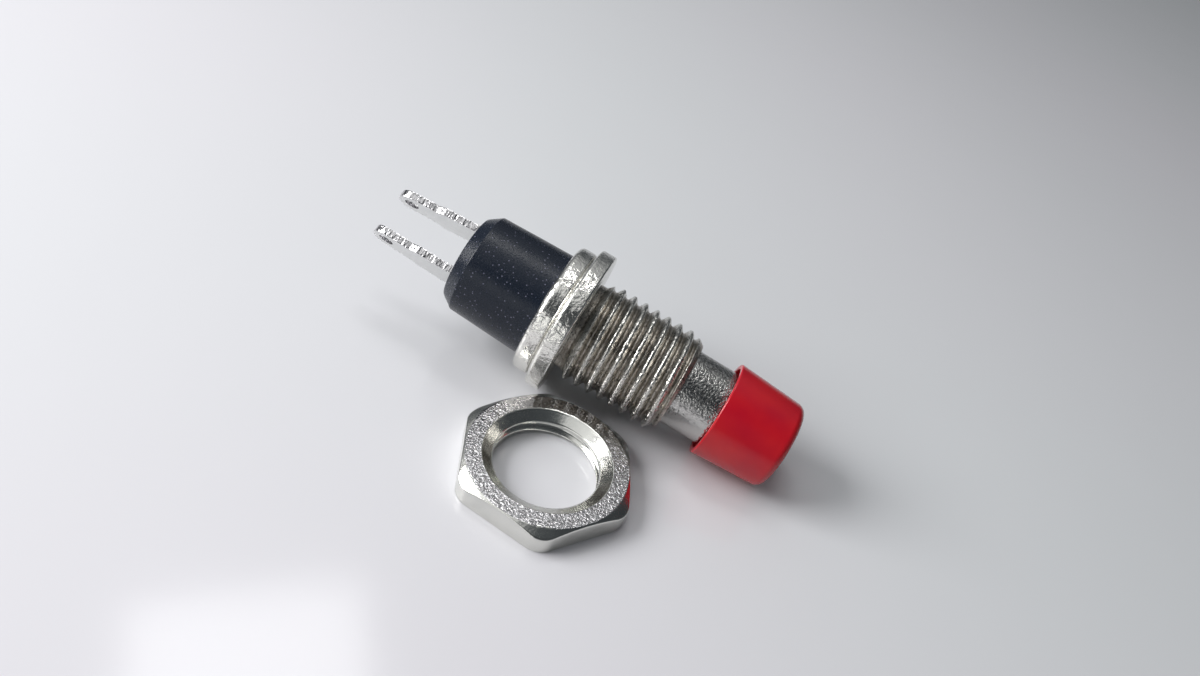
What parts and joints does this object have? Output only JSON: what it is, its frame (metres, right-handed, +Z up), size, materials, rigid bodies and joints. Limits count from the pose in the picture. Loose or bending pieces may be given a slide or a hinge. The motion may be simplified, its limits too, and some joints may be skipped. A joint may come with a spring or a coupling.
{
  "type": "mini push button switch",
  "caption": "Mini momentary push button switch with a round red cap, a threaded barrel with flange, a black base, solder lugs and its loose hex panel nut.",
  "frame": {"origin": "on the table under the middle of the set, the switch lying on its flange and cap with the nut beside it", "axes": "+X along the switch towards its cap, which points down by the tilt at which it lies; +Z up; the nut lies on the -Y side"},
  "size_m": [0.03, 0.019, 0.01],
  "materials": {
    "nickel_plating": "nickel-plated brass, fine orange peel",
    "black_phenolic": "satin black moulded thermoset with fine speckle",
    "nickel_plunger": "nickel plating with a hammered, pitted texture",
    "red_cap": "glossy red plastic",
    "white_nylon": "natural nylon",
    "contact_brass": "bright rolled brass",
    "spring_steel": "drawn spring wire",
    "nickel_nut": "nickel plating, granular on the top face, smooth on the flats",
    "tinned_brass": "tin plating with sheared, glittering edges",
    "contact_silver": "silver contact buttons"
  },
  "bodies": {
    "switch": {"threaded_bushing": "nickel_plating", "base_housing": "black_phenolic", "terminal_upper": "tinned_brass", "terminal_lower": "tinned_brass", "fixed_contact_upper": "contact_silver", "fixed_contact_lower": "contact_silver", "return_spring": "spring_steel", "panel_nut": "nickel_nut"},
    "button": {"button_cap": "red_cap", "plunger": "nickel_plunger", "contact_carrier": "white_nylon", "moving_contact": "contact_brass"}
  },
  "joints": [
    {"name": "press", "type": "slide", "parent": "switch", "child": "button", "axis": [-0.9914, 0, 0.1312], "range_m": [0, 0.0018], "stiffness_N_per_m": 700, "springref_m": -0.0015, "deforming": ["return_spring"]}
  ]
}
